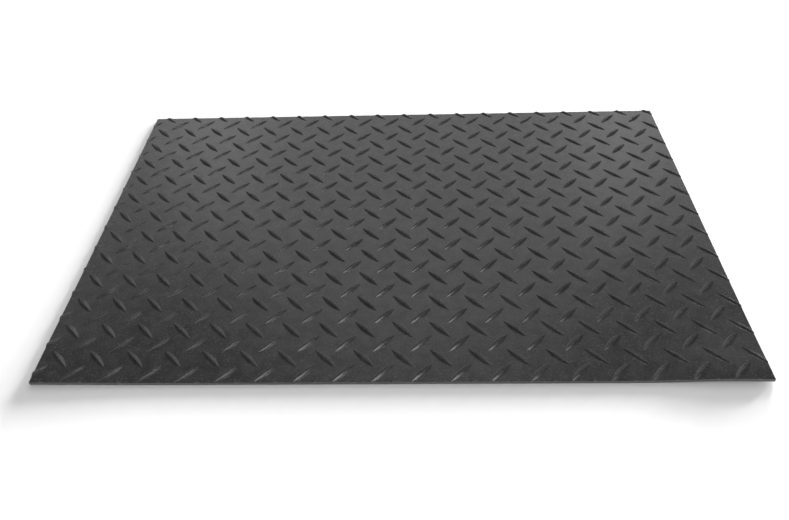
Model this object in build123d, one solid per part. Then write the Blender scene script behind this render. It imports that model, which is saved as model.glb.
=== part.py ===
from build123d import *
import math
import os

# A rubber floor mat with a diamond tread, cut from a wider roll of cloth-inserted sheet.
# Millimetres, +Z up. The origin is the centre of the underside, which lies on the floor.
# +X runs along the long side and +Y towards the far long side.

# The mat as cut: 36 in by 24 in.
MAT_LENGTH = 914.4
MAT_WIDTH = 609.6

# The three bonded plies, from the floor up. With the lugs the mat is 6.35 mm (1/4 in) thick.
BASE_PLY = 1.9
CLOTH_PLY = 0.4
TREAD_PLY = 1.95

# The tread: two families of lugs on one lattice, each family half a pitch off the other.
COLUMNS_PER_LENGTH = 18.71
ROWS_PER_WIDTH = 12.82
COLUMN_PITCH = MAT_LENGTH / COLUMNS_PER_LENGTH
ROW_PITCH = MAT_WIDTH / ROWS_PER_WIDTH

# Where the knife cut the roll: the first falling lug's centre, in pitches from the left and near edges.
LEFT_CUT = 0.50
NEAR_CUT = 0.788

# One lug: pointed at both ends, with two sloping flanks and a narrow flat crest.
# LUG_RIDGE is where the flanks would meet; LUG_ROOT is how far the lug is sunk into the ply.
LUG_LENGTH = 38.8
LUG_WIDTH = 8.9
LUG_HEIGHT = 2.1
LUG_RIDGE = 2.35
LUG_ROOT = 0.6
LUG_ANGLE = 45.0

# Roll stock left around the mat before it is cut to size.
ROLL_MARGIN = 30.0

TREAD_BOTTOM = BASE_PLY + CLOTH_PLY
TREAD_TOP = TREAD_BOTTOM + TREAD_PLY


def ply(thickness, bottom, margin=0.0):
    """A flat rectangular ply, its underside at the given height."""
    blank = Box(
        MAT_LENGTH + 2 * margin,
        MAT_WIDTH + 2 * margin,
        thickness,
        align=(Align.CENTER, Align.CENTER, Align.MIN),
    )
    return Pos(0, 0, bottom) * blank


def whole_lug():
    """One lug along X, foot at z = 0 and root sunk below it.

    Two wide cones stand side by side and overlap in a pointed lens; their walls are the flanks.
    """
    half_length = LUG_LENGTH / 2
    half_width = LUG_WIDTH / 2
    plan_radius = (half_length**2 + half_width**2) / LUG_WIDTH
    run_per_rise = half_width / LUG_RIDGE
    flank = Cone(
        plan_radius + LUG_ROOT * run_per_rise,
        plan_radius - LUG_HEIGHT * run_per_rise,
        LUG_ROOT + LUG_HEIGHT,
        align=(Align.CENTER, Align.CENTER, Align.MIN),
    )
    side_step = plan_radius - half_width
    return Pos(0, side_step, -LUG_ROOT) * flank & Pos(0, -side_step, -LUG_ROOT) * flank


def lug_places():
    """Centre and turn of every lug that touches the mat, both families."""
    reach_x = MAT_LENGTH / 2 + LUG_LENGTH / 2
    reach_y = MAT_WIDTH / 2 + LUG_LENGTH / 2
    places = []
    for column in range(-2, math.ceil(COLUMNS_PER_LENGTH) + 2):
        for row in range(-2, math.ceil(ROWS_PER_WIDTH) + 2):
            for half_step, turn in ((0.0, -LUG_ANGLE), (0.5, LUG_ANGLE)):
                x = (column + half_step + LEFT_CUT) * COLUMN_PITCH - MAT_LENGTH / 2
                y = (row + half_step + NEAR_CUT) * ROW_PITCH - MAT_WIDTH / 2
                if abs(x) < reach_x and abs(y) < reach_y:
                    places.append(Pos(x, y, TREAD_TOP) * Rot(0, 0, turn))
    return places


def tread_sheet():
    """The top ply with its lugs, cut through sheet and lugs alike along all four edges."""
    roll = ply(TREAD_PLY, TREAD_BOTTOM, ROLL_MARGIN)
    lug = whole_lug()
    treaded_roll = roll + [place * lug for place in lug_places()]
    knife = ply(TREAD_PLY + 2 * LUG_HEIGHT, TREAD_BOTTOM)
    return treaded_roll & knife


def write_step(shape, node):
    shape.label = node
    export_step(shape, os.path.join("parts", node + ".step"))


os.makedirs("parts", exist_ok=True)
write_step(tread_sheet(), "tread_sheet")
write_step(ply(CLOTH_PLY, BASE_PLY), "cloth_insert")
write_step(ply(BASE_PLY, 0.0), "backing_sheet")
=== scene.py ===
"""Looks for the diamond tread floor mat: three bonded plies, lying on a pale floor in soft light.

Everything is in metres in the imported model's frame: +Z up, the underside on z = 0.
"""

import math

import bmesh
import bpy
import numpy as np
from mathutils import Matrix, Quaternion, Vector, geometry

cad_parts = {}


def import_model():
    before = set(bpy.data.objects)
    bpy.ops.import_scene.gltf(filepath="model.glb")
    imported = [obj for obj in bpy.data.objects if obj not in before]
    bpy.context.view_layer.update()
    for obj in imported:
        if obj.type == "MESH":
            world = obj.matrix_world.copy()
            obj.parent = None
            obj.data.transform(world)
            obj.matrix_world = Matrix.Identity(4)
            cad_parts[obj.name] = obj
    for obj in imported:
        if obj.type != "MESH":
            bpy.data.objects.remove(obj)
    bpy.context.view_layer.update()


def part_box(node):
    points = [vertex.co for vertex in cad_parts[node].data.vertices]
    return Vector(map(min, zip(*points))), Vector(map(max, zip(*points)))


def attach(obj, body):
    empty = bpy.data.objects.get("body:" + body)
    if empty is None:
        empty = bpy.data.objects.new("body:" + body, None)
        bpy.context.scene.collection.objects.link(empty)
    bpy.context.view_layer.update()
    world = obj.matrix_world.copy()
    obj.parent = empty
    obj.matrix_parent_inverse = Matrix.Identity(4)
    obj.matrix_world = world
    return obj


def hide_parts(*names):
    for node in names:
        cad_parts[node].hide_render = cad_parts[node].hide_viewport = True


MM = 0.001

# ---------------------------------------------------------------- the frame and its sizes

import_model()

TREAD_LOW, TREAD_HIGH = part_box("tread_sheet")
CLOTH_LOW, CLOTH_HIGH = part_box("cloth_insert")
BACKING_LOW, BACKING_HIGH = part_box("backing_sheet")
MAT_LENGTH = TREAD_HIGH.x - TREAD_LOW.x
MAT_WIDTH = TREAD_HIGH.y - TREAD_LOW.y
LEFT, RIGHT = TREAD_LOW.x, TREAD_HIGH.x
NEAR, FAR = TREAD_LOW.y, TREAD_HIGH.y

# The tread has the CAD model's lattice: two families of lugs, each half a pitch off the other. LEFT_CUT
# and NEAR_CUT are the first falling lug's centre, in pitches from the left and near edges.
COLUMNS_PER_LENGTH = 18.71
ROWS_PER_WIDTH = 12.82
COLUMN_PITCH = MAT_LENGTH / COLUMNS_PER_LENGTH
ROW_PITCH = MAT_WIDTH / ROWS_PER_WIDTH
LEFT_CUT = 0.50
NEAR_CUT = 0.788
LUG_HEIGHT = 2.1 * MM
LUG_HALF_LENGTH = 19.4 * MM
LUG_HALF_WIDTH = 4.45 * MM
LUG_ANGLE = math.radians(45)
TREAD_TOP = TREAD_HIGH.z - LUG_HEIGHT

# The shape of one lug. The powers say how bluntly its outline and its crest run to the points. The crest's
# rounding is a share of the half width. The flanks are part straight slope and part hollow.
OUTLINE_POWER = 0.9
CREST_POWER = 0.71
CREST_ROUNDING = 0.2
STRAIGHT_SHARE = 0.45

# Mesh detail of one lug: steps along it, stations from its crest to its foot as shares of its half width,
# and how far a ring of flat points stands off its foot.
LUG_STEPS = 14
CREST_TO_FOOT = (0.12, 0.28, 0.50, 0.76, 1.0)
FOOT_RING_END = 0.8 * MM
FOOT_RING_SIDE = 0.6 * MM

# How much wider the roll is than the lugs that hang over the mat's edges.
ROLL_SPARE = 6 * MM

# The near edge doesn't lie quite flat at its two ends: a low wave near the right corner, and a curled left
# corner. Each is a height, its place along X, how wide it spreads along X and how far it reaches inwards.
NEAR_EDGE_WAVES = (
    (3.2 * MM, RIGHT - 52 * MM, 62 * MM, 55 * MM),
    (2.2 * MM, LEFT, 110 * MM, 150 * MM),
)

# The flat faces are in cells of this size, so that they can follow the waves.
PLY_CELL = 12 * MM
PLY_COLUMNS = round(MAT_LENGTH / PLY_CELL)
PLY_ROWS = round(MAT_WIDTH / PLY_CELL)

# Points nearer than these are one point: to the triangulation, to the knife and in the finished mesh.
SAME_POINT = 1e-7
KNIFE_REACH = 0.002 * MM
WELD_REACH = 0.004 * MM

# What geometry.delaunay_2d_cdt is to return.
ALL_TRIANGLES = 0
TRIANGLES_IN_OUTLINES = 1

# A ply's cut edges have its second material. Edges that turn by more than the angle stay sharp.
EDGE_SLOT = 1
SHARP_ANGLE = math.radians(50)


def lift(x, y):
    """How far the mat stands off the floor at a point."""
    height = 0.0
    for peak, place, spread_along, reach in NEAR_EDGE_WAVES:
        along = math.exp(-(((x - place) / spread_along) ** 2))
        inwards = math.exp(-(((y - NEAR) / reach) ** 2))
        height += peak * along * inwards
    return height


# ---------------------------------------------------------------- materials


def node(tree, kind, inputs=(), **settings):
    """A shader node with its settings, and values or links on its inputs."""
    made = tree.nodes.new(kind)
    for name, value in settings.items():
        setattr(made, name, value)
    for name, value in dict(inputs).items():
        if isinstance(value, bpy.types.NodeSocket):
            tree.links.new(value, made.inputs[name])
        else:
            made.inputs[name].default_value = value
    return made


def new_material(name):
    """An empty node material, its tree and a socket with the object's own coordinates."""
    material = bpy.data.materials.new(name)
    material.use_nodes = True
    tree = material.node_tree
    tree.nodes.clear()
    return material, tree, node(tree, "ShaderNodeTexCoord").outputs["Object"]


def noise(tree, where, size, detail=2):
    """Noise from 0 to 1 whose blobs are about this many metres across."""
    inputs = {"Vector": where, "Scale": 1 / size, "Detail": detail}
    return node(tree, "ShaderNodeTexNoise", inputs).outputs["Fac"]


def spread(tree, value, low, high, start=0.25, end=0.75):
    """A 0 to 1 value stretched to run from low to high."""
    inputs = {"Value": value, "From Min": start, "From Max": end, "To Min": low, "To Max": high}
    return node(tree, "ShaderNodeMapRange", inputs).outputs["Result"]


def colour_between(tree, value, dark, light):
    """A colour between two, by a 0 to 1 value."""
    factor, first, second, result = 0, 6, 7, 2
    inputs = {factor: value, first: (*dark, 1), second: (*light, 1)}
    return node(tree, "ShaderNodeMix", inputs, data_type="RGBA").outputs[result]


def bump(tree, height, depth, under=None):
    """A bump whose full height is this many metres, on top of another one if given."""
    inputs = {"Height": height, "Distance": depth, "Strength": 1.0}
    if under:
        inputs["Normal"] = under
    return node(tree, "ShaderNodeBump", inputs).outputs["Normal"]


def finish_material(material, tree, colour, roughness, normal=None):
    """Gives a material its one surface shader."""
    inputs = {"Base Color": colour, "Roughness": roughness, "IOR": 1.5}
    if normal:
        inputs["Normal"] = normal
    shader = node(tree, "ShaderNodeBsdfPrincipled", inputs)
    node(tree, "ShaderNodeOutputMaterial", {"Surface": shader.outputs["BSDF"]})
    return material


def tread_rubber():
    """Satin black rubber straight from the press: slightly wavy, with a fine grain and cloudy patches."""
    material, tree, where = new_material("tread_rubber")
    waves = noise(tree, where, 16 * MM)
    speckle = noise(tree, where, 2.6 * MM)
    grain = noise(tree, where, 0.9 * MM)
    both = node(tree, "ShaderNodeMath", {0: waves, 1: speckle}, operation="ADD").outputs[0]
    clouds = spread(tree, both, 0, 1, start=0.7, end=1.3)
    colour = colour_between(tree, clouds, (0.024, 0.024, 0.0245), (0.052, 0.052, 0.0525))
    roughness = spread(tree, speckle, 0.21, 0.29)
    wavy = bump(tree, waves, 0.15 * MM)
    coarse = bump(tree, speckle, 0.055 * MM, wavy)
    fine = bump(tree, grain, 0.035 * MM, coarse)
    return finish_material(material, tree, colour, roughness, fine)


def cut_rubber_with_painted_light():
    """The knife-cut edge: duller than the pressed face, with fine lines along the cut. It is paler than the
    pressed face partly by its own tone and partly by painted light, which stands in for light catching the
    edge.
    """
    material, tree, where = new_material("cut_rubber_with_painted_light")
    flatten = node(tree, "ShaderNodeMapping", {"Vector": where, "Scale": (0.04, 0.04, 1.0)})
    lines = noise(tree, flatten.outputs["Vector"], 0.35 * MM)
    # Painted light: these greys are set above the rubber's own tone, so that the cut faces look as though
    # light catches them.
    colour = colour_between(tree, lines, (0.105, 0.105, 0.106), (0.130, 0.130, 0.131))
    roughness = spread(tree, lines, 0.52, 0.66)
    return finish_material(material, tree, colour, roughness, bump(tree, lines, 0.02 * MM))


def weave_height(tree, where, pitch):
    """Square weave, from 0 to 1: threads along X and Y that pass over and under each other."""
    axes = node(tree, "ShaderNodeSeparateXYZ", {"Vector": where}).outputs
    waves = []
    for axis in ("X", "Y"):
        turn = node(tree, "ShaderNodeMath", {0: axes[axis], 1: math.pi / pitch}, operation="MULTIPLY")
        waves.append(node(tree, "ShaderNodeMath", {0: turn.outputs[0]}, operation="SINE").outputs[0])
    product = node(tree, "ShaderNodeMath", {0: waves[0], 1: waves[1]}, operation="MULTIPLY")
    return node(tree, "ShaderNodeMath", {0: product.outputs[0]}, operation="ABSOLUTE").outputs[0]


def insert_cloth():
    """Woven cloth with black rubber rubbed into it: threads a little paler than the gaps."""
    material, tree, where = new_material("insert_cloth")
    weave = weave_height(tree, where, 1.1 * MM)
    colour = colour_between(tree, weave, (0.030, 0.029, 0.028), (0.085, 0.083, 0.080))
    roughness = spread(tree, weave, 0.9, 0.75, start=0.0, end=1.0)
    return finish_material(material, tree, colour, roughness, bump(tree, weave, 0.12 * MM))


def backing_rubber():
    """Dull black rubber whose underside keeps the print of the cloth it was cured on."""
    material, tree, where = new_material("backing_rubber")
    weave = weave_height(tree, where, 1.3 * MM)
    clouds = noise(tree, where, 60 * MM, detail=3)
    colour = colour_between(tree, clouds, (0.026, 0.026, 0.0265), (0.036, 0.036, 0.0365))
    roughness = spread(tree, clouds, 0.62, 0.74)
    return finish_material(material, tree, colour, roughness, bump(tree, weave, 0.10 * MM))


def pale_floor():
    """A plain, dull studio floor."""
    material, tree, _ = new_material("pale_floor")
    return finish_material(material, tree, (0.5, 0.5, 0.5, 1), 0.9)


def white_backdrop():
    """Plain white that glows by itself."""
    material, tree, _ = new_material("white_backdrop")
    glow = node(tree, "ShaderNodeEmission", {"Color": (1, 1, 1, 1), "Strength": 1.0})
    node(tree, "ShaderNodeOutputMaterial", {"Surface": glow.outputs["Emission"]})
    return material


# ---------------------------------------------------------------- the tread ply


def ply_stations(start, length, cells):
    """The places of a ply's grid points along one side."""
    return [start + length * k / cells for k in range(cells + 1)]


def tread_places():
    """Centre and turn of every lug that could touch the mat."""
    beyond = 2
    places = []
    for column in range(-beyond, math.ceil(COLUMNS_PER_LENGTH) + beyond):
        for row in range(-beyond, math.ceil(ROWS_PER_WIDTH) + beyond):
            for half_step, turn in ((0.0, -LUG_ANGLE), (0.5, LUG_ANGLE)):
                x = LEFT + (column + half_step + LEFT_CUT) * COLUMN_PITCH
                y = NEAR + (row + half_step + NEAR_CUT) * ROW_PITCH
                reach = LUG_HALF_LENGTH
                if LEFT - reach < x < RIGHT + reach and NEAR - reach < y < FAR + reach:
                    places.append((x, y, turn))
    return places


def half_width(u, half_length, widest):
    """Half the width of a lug's pointed outline at distance u from its middle."""
    return widest * max(0.0, 1 - (u / half_length) ** 2) ** OUTLINE_POWER


def section(t):
    """Height across a lug, from 1 on its crest to 0 at its foot: narrow rounded crest, hollow flanks."""
    rounding = CREST_ROUNDING
    s = (math.sqrt(t * t + rounding**2) - rounding) / (math.sqrt(1 + rounding**2) - rounding)
    return (1 - s) * (STRAIGHT_SHARE + (1 - STRAIGHT_SHARE) * (1 - s))


def lug_patch():
    """One lug along X: its points, faces, and the closed loop of its foot ring, in order."""
    sides = [-t for t in reversed(CREST_TO_FOOT)] + [0.0] + list(CREST_TO_FOOT)
    ring_length = LUG_HALF_LENGTH + FOOT_RING_END
    points = [(-ring_length, 0, 0), (-LUG_HALF_LENGTH, 0, 0)]
    rows = []
    for step in range(1, LUG_STEPS):
        share = -math.cos(math.pi * step / LUG_STEPS)
        u, ring_u = share * LUG_HALF_LENGTH, share * ring_length
        w = half_width(u, LUG_HALF_LENGTH, LUG_HALF_WIDTH)
        ring_w = half_width(ring_u, ring_length, LUG_HALF_WIDTH + FOOT_RING_SIDE)
        crest = LUG_HEIGHT * (1 - (u / LUG_HALF_LENGTH) ** 2) ** CREST_POWER
        row = [len(points)]
        points.append((ring_u, -ring_w, 0))
        for t in sides:
            row.append(len(points))
            points.append((u, t * w, crest * section(abs(t))))
        row.append(len(points))
        points.append((ring_u, ring_w, 0))
        rows.append(row)
    points += [(LUG_HALF_LENGTH, 0, 0), (ring_length, 0, 0)]
    far_tip, far_ring = len(points) - 2, len(points) - 1
    faces = []
    for a, b in zip(rows, rows[1:]):
        faces += [(a[k], b[k], b[k + 1], a[k + 1]) for k in range(len(a) - 1)]
    for row, tip, ring_tip, ends in ((rows[0], 1, 0, 1), (rows[-1], far_tip, far_ring, -1)):
        faces += [(tip, row[k], row[k + 1])[::ends] for k in range(1, len(row) - 2)]
        faces += [(ring_tip, row[0], row[1], tip)[::ends], (tip, row[-2], row[-1], ring_tip)[::ends]]
    loop = [0] + [row[0] for row in rows] + [far_ring] + [row[-1] for row in reversed(rows)]
    return np.array(points), faces, loop


def placed(points, x, y, turn):
    """Lug points turned and moved to a place on top of the ply."""
    c, s = math.cos(turn), math.sin(turn)
    out = np.empty_like(points)
    out[:, 0] = x + c * points[:, 0] - s * points[:, 1]
    out[:, 1] = y + s * points[:, 0] + c * points[:, 1]
    out[:, 2] = TREAD_TOP + points[:, 2]
    return out


def roll_surface():
    """The treaded top face of the roll, wider than the mat all round, as one welded surface.

    The flat between the lugs is triangulated round their foot rings, with one more point in each gap.
    """
    lug, lug_faces, loop = lug_patch()
    margin = 2 * LUG_HALF_LENGTH + ROLL_SPARE
    corners = [(LEFT - margin, NEAR - margin), (RIGHT + margin, NEAR - margin)]
    corners += [(RIGHT + margin, FAR + margin), (LEFT - margin, FAR + margin)]
    flat_points = [Vector(corner) for corner in corners]
    outlines = [list(range(4))]
    surface = bmesh.new()
    for x, y, turn in tread_places():
        points = placed(lug, x, y, turn)
        made = [surface.verts.new(p) for p in points]
        for face in lug_faces:
            surface.faces.new([made[k] for k in face])
        outlines.append(list(range(len(flat_points), len(flat_points) + len(loop))))
        flat_points += [Vector(points[k][:2]) for k in loop]
        flat_points.append(Vector((x + COLUMN_PITCH / 2, y)))
    cut = geometry.delaunay_2d_cdt(flat_points, [], outlines, TRIANGLES_IN_OUTLINES, SAME_POINT)
    cut_points, triangles, outlines_round = cut[0], cut[2], cut[5]
    verts = [surface.verts.new((p.x, p.y, TREAD_TOP)) for p in cut_points]
    for triangle, inside in zip(triangles, outlines_round):
        if max(inside) == 0:
            surface.faces.new([verts[k] for k in triangle])
    bmesh.ops.remove_doubles(surface, verts=surface.verts, dist=WELD_REACH)
    return surface


def cut_to_size(surface):
    """Cuts the roll along the mat's four edges; each cut is a point on it and its outward direction."""
    knife = [((LEFT, 0, 0), (-1, 0, 0)), ((RIGHT, 0, 0), (1, 0, 0))]
    knife += [((0, NEAR, 0), (0, -1, 0)), ((0, FAR, 0), (0, 1, 0))]
    for point, outwards in knife:
        everything = surface.verts[:] + surface.edges[:] + surface.faces[:]
        bmesh.ops.bisect_plane(
            surface,
            geom=everything,
            dist=KNIFE_REACH,
            plane_co=point,
            plane_no=outwards,
            clear_outer=True,
        )


def close_below(surface):
    """Closes the open underside with a flat face, from the rim of the walls to a grid of points inside it."""
    flat_points = [vert.co.to_2d() for vert in surface.verts if vert.is_boundary]
    for x in ply_stations(LEFT, MAT_LENGTH, PLY_COLUMNS)[1:-1]:
        for y in ply_stations(NEAR, MAT_WIDTH, PLY_ROWS)[1:-1]:
            flat_points.append(Vector((x, y)))
    cut = geometry.delaunay_2d_cdt(flat_points, [], [], ALL_TRIANGLES, SAME_POINT)
    cut_points, triangles = cut[0], cut[2]
    verts = [surface.verts.new((p.x, p.y, TREAD_LOW.z)) for p in cut_points]
    for triangle in triangles:
        surface.faces.new([verts[k] for k in triangle])
    low = [vert for vert in surface.verts if vert.co.z < TREAD_LOW.z + WELD_REACH]
    bmesh.ops.remove_doubles(surface, verts=low, dist=WELD_REACH)


def tread_mesh():
    """The treaded face, the four cut faces under its edge, and the bonded face below."""
    surface = roll_surface()
    cut_to_size(surface)
    rim = [edge for edge in surface.edges if edge.is_boundary]
    for part in bmesh.ops.extrude_edge_only(surface, edges=rim)["geom"]:
        if isinstance(part, bmesh.types.BMVert):
            part.co.z = TREAD_LOW.z
        elif isinstance(part, bmesh.types.BMFace):
            part.material_index = EDGE_SLOT
    close_below(surface)
    bmesh.ops.recalc_face_normals(surface, faces=surface.faces[:])
    return surface


# ---------------------------------------------------------------- the flat plies


def ply_mesh(bottom, top):
    """A closed flat ply: two gridded faces, and the cut faces round its four edges."""
    columns, rows = PLY_COLUMNS, PLY_ROWS
    xs = ply_stations(LEFT, MAT_LENGTH, columns)
    ys = ply_stations(NEAR, MAT_WIDTH, rows)
    made = bmesh.new()
    layers = [[[made.verts.new((x, y, z)) for x in xs] for y in ys] for z in (bottom, top)]
    for layer, flip in ((layers[0], -1), (layers[1], 1)):
        for r in range(rows):
            for c in range(columns):
                cell = [layer[r][c], layer[r][c + 1], layer[r + 1][c + 1], layer[r + 1][c]]
                made.faces.new(cell[::flip])
    low, high = layers
    around = [(0, c) for c in range(columns)] + [(r, columns) for r in range(rows)]
    around += [(rows, c) for c in range(columns, 0, -1)] + [(r, 0) for r in range(rows, 0, -1)]
    for (r, c), (next_r, next_c) in zip(around, around[1:] + around[:1]):
        wall = made.faces.new([low[r][c], low[next_r][next_c], high[next_r][next_c], high[r][c]])
        wall.material_index = EDGE_SLOT
    return made


# ---------------------------------------------------------------- pieces


def show(name, made, materials):
    """Puts a mesh in the scene with its materials."""
    mesh = bpy.data.meshes.new(name)
    made.to_mesh(mesh)
    made.free()
    for material in materials:
        mesh.materials.append(material)
    shown = bpy.data.objects.new(name, mesh)
    bpy.context.scene.collection.objects.link(shown)
    return shown


def piece(name, made, materials, replaced):
    """Turns a mesh into a piece of the mat: lifted by the waves, smooth but for its cut corners."""
    for vert in made.verts:
        vert.co.z += lift(vert.co.x, vert.co.y)
    shown = show(name, made, materials)
    shown.data.shade_smooth()
    shown.data.set_sharp_from_angle(angle=SHARP_ANGLE)
    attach(shown, "root")
    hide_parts(replaced)
    return shown


edge = cut_rubber_with_painted_light()
tread = piece("tread_ply", tread_mesh(), [tread_rubber(), edge], "tread_sheet")
cloth_mesh = ply_mesh(CLOTH_LOW.z, CLOTH_HIGH.z)
yarn = insert_cloth()
cloth = piece("cloth_ply", cloth_mesh, [yarn, yarn], "cloth_insert")
backing_mesh = ply_mesh(BACKING_LOW.z, BACKING_HIGH.z)
backing = piece("backing_ply", backing_mesh, [backing_rubber(), edge], "backing_sheet")

# ---------------------------------------------------------------- floor, light and camera

FLOOR_SIZE = 30.0
FLOOR_STEPS = 6
FLOOR_GAP = 0.05 * MM
DOME_SIDES = 48
DOME_RINGS = 24

# Each light's name, its azimuth, elevation and width in degrees, and its W/m2. Azimuth 0 is +X, 90 is
# straight back and -90 is the viewer's side.
STUDIO_LIGHTS = (
    ("back_left", 121, 26, 30, 0.16),
    ("back_middle", 90, 33, 40, 0.41),
    ("back_right", 60, 27, 28, 0.19),
    ("overhead", 66, 72, 8, 0.28),
    ("right_key", -28, 55, 26, 1.05),
    ("front_key", -65, 26, 60, 1.0),
)

# These fall on the floor only. The low ones from behind draw the long soft shadow; the others keep it pale.
FLOOR_LIGHTS = (
    ("floor_wash_left", 38, 4.8, 6, 9.8),
    ("floor_wash_near", 76, 4.8, 6, 9.3),
    ("floor_wash_middle", 58, 8.5, 13, 10.8),
    ("floor_wash_high", 75, 34, 50, 1.15),
    ("floor_wash_front", -90, 40, 50, 0.95),
)
ROOM_BRIGHTNESS = 0.09

CAMERA_AT = Vector((28.2, -823.5, 701.1)) * MM
CAMERA_AIM = Vector((-5.4, -87.3, 4.25)) * MM
CAMERA_ROLL = math.radians(-2.39)
CAMERA_LENS_MM = 31.9
CAMERA_SENSOR_MM = 36
CAMERA_CLIP = 10 * MM


def floor():
    """A wide floor just below the mat."""
    made = bmesh.new()
    bmesh.ops.create_grid(made, x_segments=FLOOR_STEPS, y_segments=FLOOR_STEPS, size=FLOOR_SIZE / 2)
    shown = show("floor", made, [pale_floor()])
    shown.location.z = -FLOOR_GAP
    return shown


def backdrop():
    """A white dome all round, seen only by the camera, so that no light comes from it."""
    made = bmesh.new()
    bmesh.ops.create_uvsphere(made, u_segments=DOME_SIDES, v_segments=DOME_RINGS, radius=FLOOR_SIZE / 2)
    shown = show("backdrop", made, [white_backdrop()])
    shown.visible_diffuse = False
    shown.visible_glossy = False
    shown.visible_shadow = False


def soft_light(name, azimuth, elevation, width, irradiance, only_on=None):
    """A far, round, soft light that falls on everything, or on one object only."""
    light = bpy.data.lights.new(name, "SUN")
    light.angle = math.radians(width)
    light.energy = irradiance
    shown = bpy.data.objects.new(name, light)
    a, e = math.radians(azimuth), math.radians(elevation)
    towards = Vector((math.cos(a) * math.cos(e), math.sin(a) * math.cos(e), math.sin(e)))
    shown.rotation_mode = "QUATERNION"
    shown.rotation_quaternion = towards.to_track_quat("Z", "Y")
    bpy.context.scene.collection.objects.link(shown)
    if only_on is not None:
        group = bpy.data.collections.new(name + "_falls_on")
        group.objects.link(only_on)
        shown.light_linking.receiver_collection = group


def world():
    """Even light from all round, as in a white room."""
    made = bpy.data.worlds.new("studio")
    made.use_nodes = True
    background = made.node_tree.nodes["Background"].inputs
    background["Color"].default_value = (1, 1, 1, 1)
    background["Strength"].default_value = ROOM_BRIGHTNESS
    bpy.context.scene.world = made


def camera():
    """The viewpoint: above the near edge, looking down the mat, rolled a little."""
    data = bpy.data.cameras.new("camera")
    data.lens = CAMERA_LENS_MM
    data.sensor_width = CAMERA_SENSOR_MM
    data.clip_start = CAMERA_CLIP
    shown = bpy.data.objects.new("camera", data)
    shown.location = CAMERA_AT
    shown.rotation_mode = "QUATERNION"
    level = (CAMERA_AIM - CAMERA_AT).to_track_quat("-Z", "Y")
    shown.rotation_quaternion = level @ Quaternion((0, 0, 1), CAMERA_ROLL)
    bpy.context.scene.collection.objects.link(shown)
    bpy.context.scene.camera = shown


floor_object = floor()
backdrop()
for settings in STUDIO_LIGHTS:
    soft_light(*settings)
for settings in FLOOR_LIGHTS:
    soft_light(*settings, only_on=floor_object)
world()
camera()
bpy.context.scene.view_settings.view_transform = "Standard"
